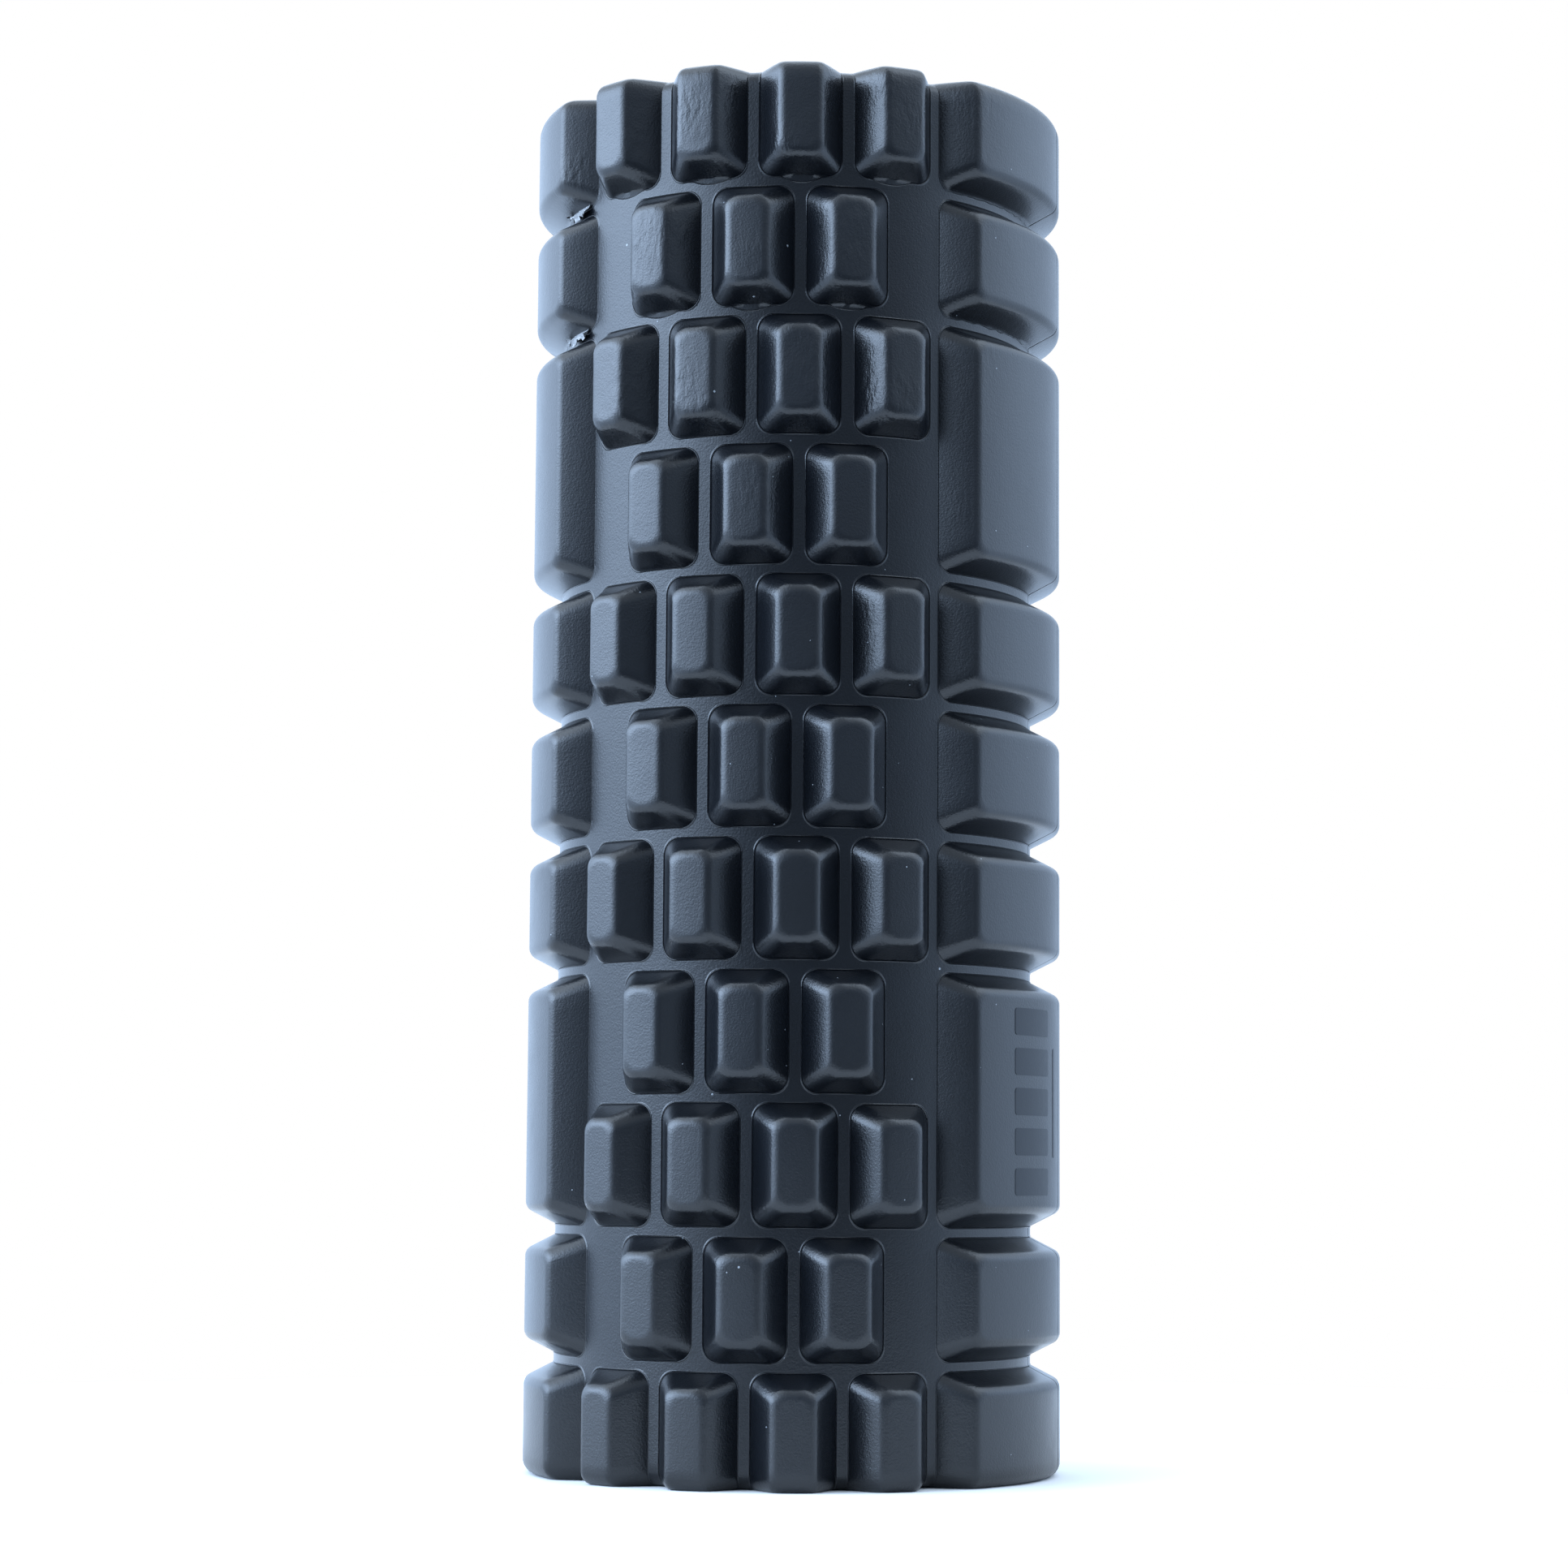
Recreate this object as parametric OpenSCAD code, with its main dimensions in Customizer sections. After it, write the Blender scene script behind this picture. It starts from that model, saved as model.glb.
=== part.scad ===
// Hollow foam roller: a rigid core tube in a moulded foam sleeve.
// The sleeve is two half shells, bonded to the tube and to each other along two seams.
// Units are millimetres. +Z runs along the roller's axis, and the origin is the centre of its lower end.
// The small pads of the front shell face -Y, and the two seams lie in the plane y = 0.

/* [Roller] */
// Length over the foam's flat ends
length = 332; // [322:1:336]
// Diameter over the tops of the pads
outer_d = 130; // [126:1:136]
// Depth of the grooves between the pads
groove_depth = 7.2; // [6:0.1:8]

/* [Core tube] */
// Outside diameter of the rigid tube
core_d = 100; // [96:1:104]
// Wall thickness of the rigid tube
core_wall = 4; // [3:0.5:6]
// Chamfer on the tube's inner edges
core_chamfer = 0.8; // [0.4:0.1:1.5]
// Thickness of the adhesive between tube and foam
bond_t = 0.3; // [0.2:0.1:0.6]
// How far the adhesive stops short of each end
bond_inset = 2; // [1:1:10]

/* [Pads] */
// Distance between the middles of two rows
row_pitch = 30.75; // [30.4:0.05:31.2]
// Width of a small pad at the groove floor
pad_w = 19.4; // [17:0.1:20]
// Height of a small pad at the groove floor
pad_h = 28.2; // [26:0.1:28.6]
// Slope run of a pad's two side walls
side_run = 4.9; // [3.5:0.1:5.5]
// Slope run of a pad's upper and lower walls
end_run = 3.7; // [3:0.1:4.5]
// Corner radius of a pad's outline at the groove floor
foot_corner_r = 3.4; // [2:0.1:4]
// Rounding of the edges around a pad's top
edge_r = 1.6; // [1:0.1:2.4]
// Distance of a wide band's end wall from the plane of the seams
band_end_y = 40; // [39:0.1:40.5]

/* [Printed mark] */
// Number of plain bars in the mark
bar_count = 5; // [3:1:6]
// Width of a bar, around the roller
bar_w = 18; // [12:1:20]
// Height of a bar, along the roller
bar_h = 6.4; // [4:0.2:6.8]
// Distance between the middles of two bars
bar_pitch = 9.4; // [9:0.2:10]
// Angle from the front to the middle of the bars
bar_angle = 72; // [68:1:75]
// Length of the thin line beside the bars
line_l = 26; // [10:1:50]
// Width of the thin line
line_w = 1.6; // [1:0.1:2.5]
// Thickness of the ink
ink_t = 0.1; // [0.08:0.01:0.2]

/* [Hidden] */
$fn = 200;

outer_r = outer_d / 2;
floor_r = outer_r - groove_depth;
shell_in_r = core_d / 2 + bond_t;
columns_all_round = 16;
column_step = 360 / columns_all_round;
last_row = 5;                 // rows run from -last_row to last_row, counted from the middle
tall_band_rows = [-2.5, 2.5]; // a tall band spans the two rows on either side of these places
short_band_rows = [-5, -4, -1, 0, 1, 4, 5];
mark_row = -2.5;
line_angle = bar_angle + 12.5;

root = 3;       // how far a pad's own solid reaches into the floor beneath it
spare = 0.15;   // how far the outline of rounded corners stands off the straight walls
proud = 0.05;   // how far an edge's rounding runs past the roller's outside before it is trimmed
past_end = 5;   // how far the end rows run past the roller's ends before they are trimmed
arc_steps = 4;  // flats in each rounded edge

function row_z(row) = length / 2 + row * row_pitch;
function turned(r, a) = [r * cos(a), r * sin(a)];

// Points round an edge that joins a straight wall to the outside of the roller.
// The wall starts at `foot` and leans back by `lean` degrees; `mid` is the middle of the rounding.
function edge_arc(mid, from, to) =
    [for (i = [0 : arc_steps]) mid + turned(edge_r, from + (to - from) * i / arc_steps)];

// Middle of a rounding that touches a leaning wall and comes within `proud` of radius `reach`.
function round_mid_on_circle(foot, lean, reach) =
    let (
        start = foot - turned(edge_r, lean),
        way = turned(1, lean + 90),
        along = start * way,
        target = reach - edge_r + proud
    )
    start + way * (sqrt(along * along - start * start + target * target) - along);

function round_mid_on_line(foot, lean, level) =
    let (
        start = foot - turned(edge_r, lean),
        way = turned(1, lean + 90)
    )
    start + way * ((level - edge_r + proud - start.y) / way.y);

function mirrored(points) = [for (i = [len(points) - 1 : -1 : 0]) [-points[i].x, points[i].y]];

// Half outline across a small pad: x is sideways, y is outwards from the roller's axis.
function side_outline() =
    let (
        foot = [pad_w / 2, sqrt(floor_r * floor_r - pad_w * pad_w / 4)],
        lean = atan(side_run / (outer_r - foot.y)),
        mid = round_mid_on_circle(foot, lean, outer_r),
        low = foot + turned(root / cos(lean), lean - 90)
    )
    concat([low], edge_arc(mid, lean, atan2(mid.y, mid.x)));

// Half outline along a pad: x is along the roller, y is outwards. `half` is its half height at the floor.
function end_outline(half) =
    let (
        foot = [half, floor_r],
        lean = atan(end_run / groove_depth),
        mid = round_mid_on_line(foot, lean, outer_r),
        low = foot + turned(root / cos(lean), lean - 90)
    )
    concat([low], edge_arc(mid, lean, 90));

// Both halves of an outline, closed above the roller's outside.
module whole_outline(down, up) {
    polygon(concat(up, [[0, outer_r + 1]], mirrored(down)));
}

// Half heights, measured from a row's middle, of what lies below and above it.
function reach_down(row, half) = row == -last_row ? length / 2 - last_row * row_pitch + past_end : half;
function reach_up(row, half) = row == last_row ? length / 2 - last_row * row_pitch + past_end : half;

module rounded_rectangle(x0, x1, y0, y1, r) {
    translate([x0 + r, y0]) square([x1 - x0 - 2 * r, y1 - y0]);
    translate([x0, y0 + r]) square([x1 - x0, y1 - y0 - 2 * r]);
    for (x = [x0 + r, x1 - r], y = [y0 + r, y1 - r]) translate([x, y]) circle(r, $fn = 24);
}

// A small pad on the -Y side, with its middle at height 0.
module pad(down, up) {
    intersection() {
        translate([0, 0, -down - 2]) linear_extrude(down + up + 4) rotate(180)
            whole_outline(side_outline(), side_outline());
        rotate([90, 0, 90]) translate([0, 0, -pad_w]) linear_extrude(2 * pad_w)
            rotate(90) whole_outline(end_outline(down), end_outline(up));
        rotate([90, 0, 0]) linear_extrude(outer_r + 2) rounded_rectangle(
            -pad_w / 2 - spare, pad_w / 2 + spare, -down - spare, up + spare, foot_corner_r);
    }
}

// Half of a wide band, from its end wall to the seam, on the +X side of the front shell.
module half_band(down, up) {
    end_mid = [sqrt(pow(outer_r - edge_r + proud, 2) - pow(band_end_y - edge_r, 2)), edge_r - band_end_y];
    end_arc = edge_arc(end_mid, -90, atan2(end_mid.y, end_mid.x));
    intersection() {
        rotate([0, 0, -90]) rotate_extrude(angle = 90) rotate(-90)
            whole_outline(end_outline(up), end_outline(down));
        translate([0, 0, -down - 2]) linear_extrude(down + up + 4)
            polygon(concat([[0, 0], [0, -band_end_y]], end_arc, [[outer_d, -outer_r], [outer_d, 0]]));
        rotate([90, 0, 90]) linear_extrude(outer_r + 2) rounded_rectangle(
            -band_end_y - spare, foot_corner_r * 2, -down - spare, up + spare, foot_corner_r);
    }
}

module pads_of_row(row) {
    staggered = abs(row) % 2 == 1;
    first = staggered ? -1.5 : -1;
    for (column = [first : 1 : -first])
        rotate([0, 0, column * column_step]) translate([0, 0, row_z(row)])
            pad(reach_down(row, pad_h / 2), reach_up(row, pad_h / 2));
}

module bands_on_one_side() {
    for (row = short_band_rows)
        translate([0, 0, row_z(row)]) half_band(reach_down(row, pad_h / 2), reach_up(row, pad_h / 2));
    for (row = tall_band_rows)
        translate([0, 0, row_z(row)]) half_band((pad_h + row_pitch) / 2, (pad_h + row_pitch) / 2);
}

// Everything inside the roller's outside, whose two end edges are rounded.
module outside() {
    rotate_extrude() polygon(concat(
        [[0, 0]], edge_arc([outer_r - edge_r, edge_r], -90, 0),
        edge_arc([outer_r - edge_r, length - edge_r], 0, 90), [[0, length]]));
}

module foam_shell() {
    rotate([0, 0, 180]) rotate_extrude(angle = 180)
        translate([shell_in_r, 0]) square([floor_r - shell_in_r, length]);
    intersection() {
        outside();
        union() {
            for (row = [-last_row : last_row]) pads_of_row(row);
            bands_on_one_side();
            mirror([1, 0, 0]) bands_on_one_side();
        }
    }
}

module foam_shell_front() { color("#20262e") foam_shell(); }

module foam_shell_back() { color("#20262e") rotate([0, 0, 180]) foam_shell(); }

module core_tube() {
    inner_r = core_d / 2 - core_wall;
    color("#15171a") difference() {
        cylinder(h = length, r = core_d / 2);
        translate([0, 0, -1]) cylinder(h = length + 2, r = inner_r);
        translate([0, 0, -1]) cylinder(h = core_chamfer + 1, r1 = inner_r + core_chamfer + 1, r2 = inner_r);
        translate([0, 0, length - core_chamfer])
            cylinder(h = core_chamfer + 1, r1 = inner_r, r2 = inner_r + core_chamfer + 1);
    }
}

module bond_film() {
    color("#b9a57a") translate([0, 0, bond_inset]) difference() {
        cylinder(h = length - 2 * bond_inset, r = shell_in_r);
        translate([0, 0, -1]) cylinder(h = length, r = core_d / 2);
    }
}

// A straight rod of ink-shaped section, pushed out from the axis at an angle from the front.
module ink_block(angle, w, h) {
    rotate([0, 0, angle]) translate([-w / 2, -outer_d, -h / 2]) cube([w, outer_d, h]);
}

// Plain bars and a thin line in ink, on the lower tall band of the front shell.
module printed_mark() {
    color("#0e1013") intersection() {
        difference() {
            cylinder(h = length, r = outer_r + ink_t);
            cylinder(h = length, r = outer_r);
        }
        translate([0, 0, row_z(mark_row)]) {
            for (i = [0 : bar_count - 1])
                translate([0, 0, (i - (bar_count - 1) / 2) * bar_pitch])
                    ink_block(bar_angle, bar_w, bar_h);
            ink_block(line_angle, line_w, line_l);
        }
    }
}

core_tube();
bond_film();
foam_shell_front();
foam_shell_back();
printed_mark();
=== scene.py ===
"""Foam roller: the foam sleeve's two moulded halves, the core tube, the adhesive and the printed mark.

The roller stands on its end, with +Z along its axis. The sizes below are in millimetres, and are multiplied
by MM where Blender takes metres. The sleeve is laid out flat first: p runs round the roller and z runs up it.
p is an arc length at MID_R, halfway up the pads, and is 0 in the middle of a shell's small pads.
"""
import math
import random

import bpy
import numpy as np
from mathutils import Matrix, Vector, noise
from mathutils.geometry import delaunay_2d_cdt


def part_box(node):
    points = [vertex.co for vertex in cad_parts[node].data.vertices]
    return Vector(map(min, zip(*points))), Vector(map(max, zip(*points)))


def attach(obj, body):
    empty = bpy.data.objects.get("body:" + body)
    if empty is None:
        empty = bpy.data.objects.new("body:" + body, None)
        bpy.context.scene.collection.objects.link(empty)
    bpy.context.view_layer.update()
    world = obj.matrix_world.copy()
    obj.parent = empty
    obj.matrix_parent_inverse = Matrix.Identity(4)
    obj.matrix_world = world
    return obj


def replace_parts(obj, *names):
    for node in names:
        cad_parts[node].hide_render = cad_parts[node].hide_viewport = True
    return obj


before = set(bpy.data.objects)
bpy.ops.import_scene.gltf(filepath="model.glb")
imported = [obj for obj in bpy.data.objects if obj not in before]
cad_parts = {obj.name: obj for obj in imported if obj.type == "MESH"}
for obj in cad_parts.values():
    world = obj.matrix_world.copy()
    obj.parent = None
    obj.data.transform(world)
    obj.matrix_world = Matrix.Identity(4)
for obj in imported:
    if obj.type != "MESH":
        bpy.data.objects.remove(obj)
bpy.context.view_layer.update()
scene = bpy.context.scene
MM = 0.001


# ---------------------------------------------------------------- sizes, from the frame
shell_low, shell_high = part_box("foam_shell_front")
core_low, core_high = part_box("core_tube")
bond_low, bond_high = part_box("bond_film")
mark_low, mark_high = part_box("printed_mark")

LENGTH = round((shell_high[2] - shell_low[2]) / MM, 3)
TOP_R = round((shell_high[0] - shell_low[0]) / 2 / MM, 3)
CORE_R = round((core_high[0] - core_low[0]) / 2 / MM, 3)
SHELL_IN_R = round((bond_high[0] - bond_low[0]) / 2 / MM, 2)
MARK_Z = (mark_low[2] + mark_high[2]) / 2 / MM

# ---------------------------------------------------------------- sizes of the pads and grooves
GROOVE = 7.2
FLOOR_R = TOP_R - GROOVE
MID_R = (TOP_R + FLOOR_R) / 2
ROW_PITCH = 30.75
PAD_W = 19.4
PAD_H = 28.2
SIDE_RUN = 4.9        # how far a pad's side walls lean in, and its upper and lower walls
END_RUN = 3.7
COLUMN = 2 * math.pi / 16 * MID_R
SEAM_P = math.pi / 2 * MID_R
BAND_END_Y = 40.0     # a wide band's end wall, from the plane of the seams
LAST_ROW = 5
SHORT_BAND_ROWS = (-5, -4, -1, 0, 1, 4, 5)
TALL_BAND_ROWS = (-3, 2)   # the lower row of the two that a tall band spans
TOP_ROWS = LAST_ROW - 1    # lips and rough edges are on this row and the one above it

BEAD_W = 0.36         # fine raised bead round a pad's foot, where the mould's plates met
BEAD_H = 0.16
BEAD_SKIRT = 0.14     # flat strip outside the bead
EDGE_R = 2.6          # rounding of the edges round a pad's top
CORNER_FOOT_R = 3.9   # corner radius of a pad's outline at the floor, and at its top
CORNER_TOP_R = 3.0
RIM_R = 3.4           # rounding of the pads' edges at the roller's ends
FLOOR_RIM_R = 5.5     # the same, on the groove floor
SEAM_W = 0.22         # half width and depth of the fine line where the shells meet
SEAM_DEPTH = 0.5
PLAY = 0.1            # how far a small pad is off its place
LIP_LEAST = 0.9       # the thin lip at the foot of some pads' lower walls: its reach,
LIP_MOST = 1.5        # its half width, and how far it is off the pad's middle
LIP_HALF_W = 5.2
LIP_SHIFT = 1.2
RAGGED = 0.5          # how far a rough moulding edge wanders, and the length of its waves
RAGGED_WAVE = 2.4
UNEVEN = 0.08         # how far the moulded skin dips, and the sizes of its broad and small dips
BROAD_DIP = 23
SMALL_DIP = 6
SEED_STEP = 7.31      # how far apart two seeds' noise lies
NEAR = 1e-6           # places and weights that differ by less than this are the same

# ---------------------------------------------------------------- sizes of the other pieces
CORE_WALL = 4.0
CORE_CHAMFER = 0.8    # on the bore's two edges, and the small rounding of the outer ones
CORE_EDGE_R = 0.35
INK_TOP = TOP_R + 0.04
INK_ROOT = TOP_R - 0.2
BAR_COUNT = 5
BAR_W = 18.0
BAR_H = 6.4
BAR_PITCH = 9.4
BAR_CORNER = 0.9
BAR_ANGLE = math.radians(72)
LINE_ANGLE = math.radians(84.5)
LINE_L = 26.0
LINE_W = 1.6
FLASH_IN = 4.0        # from the band's end wall to the torn strip, and the strip's size
FLASH_L = 14.0
FLASH_H = 3.2
FLASH_T = 0.12

# ---------------------------------------------------------------- fineness of the meshes
FOOT_STEPS = 4
EDGE_STEPS = 6
WALL_SHARES = (0.04, 0.13, 0.26, 0.5, 0.75)   # where a wall has rings, between its bead and its edge
CORNER_STEPS = 8
SHARP_ANGLE = 50      # degrees between faces from which the shells' edges are sharp
PAD_COLUMNS = 10
PAD_ROWS = 8
BAND_COLUMNS = 30
TALL_BAND_STEPS = 16
RIM_STATIONS = (0, 0.08, 0.3, 0.7, 1.3, 2.2, RIM_R)   # places of points, from an end and from a seam
SEAM_STATIONS = (0, SEAM_W, 0.7, 1.6)
FLOOR_COLUMNS = 34
FLOOR_ROWS = 84
FLOOR_CLEAR = 0.9     # room that the groove floor's own points leave round a pad
INNER_STEPS = 72
CORE_STEPS = 144
QUARTER_STEPS = 4     # in each rounded edge of the core tube
INK_STEPS = 10
FLASH_STEPS = 26


def row_z(row):
    return LENGTH / 2 + row * ROW_PITCH


def half_width(y, r):
    """p of the place at radius r that is y from the shell's middle plane."""
    return math.asin(y / r) * MID_R


PAD_HALF_P = half_width(PAD_W / 2, FLOOR_R)
PAD_TOP_HALF_P = half_width(PAD_W / 2 - SIDE_RUN, TOP_R)
PAD_LEAN = math.atan((PAD_HALF_P - PAD_TOP_HALF_P) / GROOVE)
END_LEAN = math.atan(END_RUN / GROOVE)
BAND_FOOT_P = math.acos(BAND_END_Y / FLOOR_R) * MID_R
BAND_TOP_P = math.acos(BAND_END_Y / TOP_R) * MID_R
BAND_LEAN = math.atan((BAND_TOP_P - BAND_FOOT_P) / GROOVE)


# ---------------------------------------------------------------- the sleeve's surface
def wall_profile(lean):
    """(distance inside the foot line, height) for each ring, from the floor up to the top."""
    points = [(-BEAD_W - BEAD_SKIRT, 0)]
    turn = math.pi / 2 - lean
    for i in range(FOOT_STEPS + 1):
        share = i / FOOT_STEPS
        points.append((BEAD_W * (share - 1), BEAD_H * math.sin(math.pi * share)))
    edge_reach = EDGE_R * math.tan(turn / 2)
    centre = GROOVE * math.tan(lean) + edge_reach
    edge = []
    for i in range(EDGE_STEPS + 1):
        a = turn * (1 - i / EDGE_STEPS)
        edge.append((centre - EDGE_R * math.sin(a), GROOVE - EDGE_R * (1 - math.cos(a))))
    (d0, h0), (d1, h1) = points[-1], edge[0]
    for share in WALL_SHARES:
        points.append((d0 + (d1 - d0) * share, h0 + (h1 - h0) * share))
    return points + edge


def stations(length, count, near_low=(), near_high=()):
    """Fractions along a straight side, with the given places close to a cut end."""
    low = [d for d in near_low if d > 0]
    high = [length - d for d in reversed(near_high) if d > 0]
    start = low[-1] if low else 0
    end = high[0] if high else length
    middle = [start + (end - start) * i / count for i in range(count + 1)]
    line = [0] * bool(low) + low[:-1] + middle + high[1:] + [length] * bool(high)
    return [x / length for x in line]


class Patch:
    """A raised pad: a rectangle whose sides are leaning walls, or cuts at the shell's own edges."""

    def __init__(self, left, right, low, high, x_fractions, z_fractions, low_edge=None):
        self.sides = {"left": left, "right": right, "low": low, "high": high}
        self.profiles = {name: wall_profile(lean) if lean is not None else None
                         for name, (_, lean) in self.sides.items()}
        self.xs, self.zs = x_fractions, z_fractions
        self.low_edge = low_edge
        self.rings = len(next(profile for profile in self.profiles.values() if profile))

    def walled(self, *names):
        """Whether all the named sides are leaning walls."""
        return all(self.profiles[n] is not None for n in names)

    def counts(self):
        """Steps of the grid that go round a rounded corner: left and right, and low and high."""
        half = CORNER_STEPS // 2
        across = [half * self.walled(s, "low") or half * self.walled(s, "high") for s in ("left", "right")]
        up = [half * self.walled(s, "left") or half * self.walled(s, "right") for s in ("low", "high")]
        return across, up

    def grid_size(self):
        """The grid's last column and last row."""
        (left, right), (low, high) = self.counts()
        return left + len(self.xs) - 1 + right, low + len(self.zs) - 1 + high

    def station(self, i, j):
        """(fraction across, fraction up, outward direction) of a place on the grid's border.

        It is None on a side that is a cut.
        """
        (left, right), (low, high) = self.counts()
        columns, rows = self.grid_size()
        fx = self.xs[min(max(i - left, 0), len(self.xs) - 1)]
        fz = self.zs[min(max(j - low, 0), len(self.zs) - 1)]
        # for each corner: its sides, the steps to them, the steps round it, and its middle direction
        for side, end, from_side, from_end, across, up, middle in (
            ("left", "low", i, j, left, low, 225),
            ("right", "low", columns - i, j, right, low, 315),
            ("right", "high", columns - i, rows - j, right, high, 45),
            ("left", "high", i, rows - j, left, high, 135),
        ):
            if not self.walled(side, end):
                continue
            sense = 1 if (side, end) in (("left", "low"), ("right", "high")) else -1
            if from_end == 0 and from_side <= across:
                a = math.radians(middle + sense * 45 * from_side / across)
                return fx, fz, (math.cos(a), math.sin(a))
            if from_side == 0 and from_end <= up:
                a = math.radians(middle - sense * 45 * from_end / up)
                return fx, fz, (math.cos(a), math.sin(a))
        if j == 0 and self.walled("low"):
            return fx, 0, (0, -1)
        if j == rows and self.walled("high"):
            return fx, 1, (0, 1)
        if i == 0 and self.walled("left"):
            return 0, fz, (-1, 0)
        if i == columns and self.walled("right"):
            return 1, fz, (1, 0)
        return None

    def place(self, station, ring):
        """(p, z, height) of a border place on one of the rings, which climb from the floor to the top."""
        fx, fz, (dx, dz) = station
        corner = CORNER_FOOT_R
        bound = {}
        for name, (at, _) in self.sides.items():
            profile = self.profiles[name]
            inward = 1 if name in ("left", "low") else -1
            bound[name] = at + inward * profile[ring][0] if profile else at
        depth = max(p[ring][0] / p[-1][0] for p in self.profiles.values() if p)
        corner += (CORNER_TOP_R - CORNER_FOOT_R) * depth
        x0 = bound["left"] + corner * self.walled("left")
        x1 = bound["right"] - corner * self.walled("right")
        z0 = bound["low"] + corner * self.walled("low")
        z1 = bound["high"] - corner * self.walled("high")
        height = 0
        beside, above = "left" if dx < 0 else "right", "low" if dz < 0 else "high"
        for weight, name in ((dx * dx, beside), (dz * dz, above)):
            if weight > NEAR:
                height += weight * self.profiles[name][ring][1]
        x = x0 + fx * (x1 - x0) + corner * dx
        z = z0 + fz * (z1 - z0) + corner * dz
        if self.low_edge and dz < 0:   # it moves the rings of the bead, and the one outside them
            z -= self.low_edge(x) * dz * dz * (ring <= FOOT_STEPS + 1)
        return x, z, height

    def build(self, sheet):
        """Add the patch's walls and top to the sheet, and its foot line to the sheet's outlines."""
        columns, rows = self.grid_size()
        border = [(i, 0) for i in range(columns)] + [(columns, j) for j in range(rows)]
        border += [(i, rows) for i in range(columns, 0, -1)] + [(0, j) for j in range(rows, 0, -1)]
        found = {node: self.station(*node) for node in border}
        closed = all(found.values())
        first = 0 if closed else next(
            k for k, node in enumerate(border) if found[node] and not found[border[k - 1]])
        path = [node for node in border[first:] + border[:first] if found[node]]
        loops = []
        for ring in range(self.rings):
            loops.append([sheet.add(*self.place(found[node], ring)) for node in path])
        count = len(path)
        for outer, inner in zip(loops, loops[1:]):
            for k in range(count if closed else count - 1):
                after = (k + 1) % count
                sheet.faces.append((outer[k], outer[after], inner[after], inner[k]))
        grid = dict(zip(path, loops[-1]))
        self.fill(sheet, grid, columns, rows)
        sheet.outlines.append((loops[0], closed))

    def fill(self, sheet, grid, columns, rows):
        """The top face: a grid between the innermost ring and any cut sides."""
        flat = {node: sheet.points[k][:2] for node, k in grid.items()}
        side_at = {name: at for name, (at, _) in self.sides.items()}
        for j in range(rows + 1):
            if (0, j) not in flat:
                flat[0, j] = (side_at["left"], flat[columns, j][1]) if (columns, j) in flat else None
            if (columns, j) not in flat:
                flat[columns, j] = (side_at["right"], flat[0, j][1])
        for i in range(columns + 1):
            if (i, 0) not in flat or flat[i, 0] is None:
                flat[i, 0] = (flat[i, rows][0], side_at["low"])
            if (i, rows) not in flat or flat[i, rows] is None:
                flat[i, rows] = (flat[i, 0][0], side_at["high"])
        for j in range(rows + 1):
            for i in range(columns + 1):
                if (i, j) in grid:
                    continue
                if (i, j) in flat:
                    x, z = flat[i, j]
                else:
                    x, z = self.between(flat, i, j, columns, rows)
                grid[i, j] = sheet.add(x, z, GROOVE)
        for j in range(rows):
            for i in range(columns):
                sheet.faces.append((grid[i, j], grid[i + 1, j], grid[i + 1, j + 1], grid[i, j + 1]))

    @staticmethod
    def between(flat, i, j, columns, rows):
        """A place inside the top face, blended from the places on its four sides."""
        s, t = i / columns, j / rows
        return (
            (1 - s) * flat[0, j][c] + s * flat[columns, j][c]
            + (1 - t) * flat[i, 0][c] + t * flat[i, rows][c]
            - (1 - s) * (1 - t) * flat[0, 0][c] - s * (1 - t) * flat[columns, 0][c]
            - (1 - s) * t * flat[0, rows][c] - s * t * flat[columns, rows][c]
            for c in (0, 1))


class Sheet:
    """The outside of one half shell: points (p, z, height), faces, and the pads' foot lines.

    A foot line is its points in order, and whether it closes.
    """

    def __init__(self):
        self.points, self.faces, self.outlines = [], [], []

    def add(self, p, z, height):
        self.points.append((p, z, height))
        return len(self.points) - 1


def noise_at(p, z, scale_mm, seed):
    return noise.noise(Vector((p / scale_mm, z / scale_mm, seed * SEED_STEP)))


def wall(at, lean):
    """A side of a patch that is a wall, leaning in from its foot."""
    return at, lean


def cut(at):
    """A side of a patch that lies on the shell's own edge."""
    return at, None


def lip_edge(middle, reach):
    """How far a lip pushes out a pad's lower edge, by place along it."""
    return lambda x: reach * max(0, 1 - ((x - middle) / LIP_HALF_W) ** 2)


def ragged_edge(seed):
    """How far a rough moulding edge wanders, by place along it."""
    return lambda x: RAGGED * (0.5 + noise_at(x, 0, RAGGED_WAVE, seed))


def small_pads(sheet, rng):
    """Rows of four and of three pads, in turn, down the middle of the shell."""
    for row in range(-LAST_ROW, LAST_ROW + 1):
        first = -1.5 if row % 2 else -1   # four pads in the odd rows, three in the even ones
        for k in range(int(1 - 2 * first)):
            p0 = (first + k) * COLUMN + rng.uniform(-PLAY, PLAY)
            z0 = row_z(row) + rng.uniform(-PLAY, PLAY)
            low = cut(0) if row == -LAST_ROW else wall(z0 - PAD_H / 2, END_LEAN)
            high = cut(LENGTH) if row == LAST_ROW else wall(z0 + PAD_H / 2, END_LEAN)
            straight = high[0] - low[0] - CORNER_FOOT_R
            zs = stations(straight, PAD_ROWS, RIM_STATIONS if row == -LAST_ROW else (),
                          RIM_STATIONS if row == LAST_ROW else ())
            lip = None
            if row >= TOP_ROWS:
                reach = rng.uniform(LIP_LEAST, LIP_MOST)
                lip = lip_edge(p0 + rng.uniform(-LIP_SHIFT, LIP_SHIFT), reach)
            Patch(wall(p0 - PAD_HALF_P, PAD_LEAN), wall(p0 + PAD_HALF_P, PAD_LEAN), low, high,
                  stations(1, PAD_COLUMNS), zs, lip).build(sheet)


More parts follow.
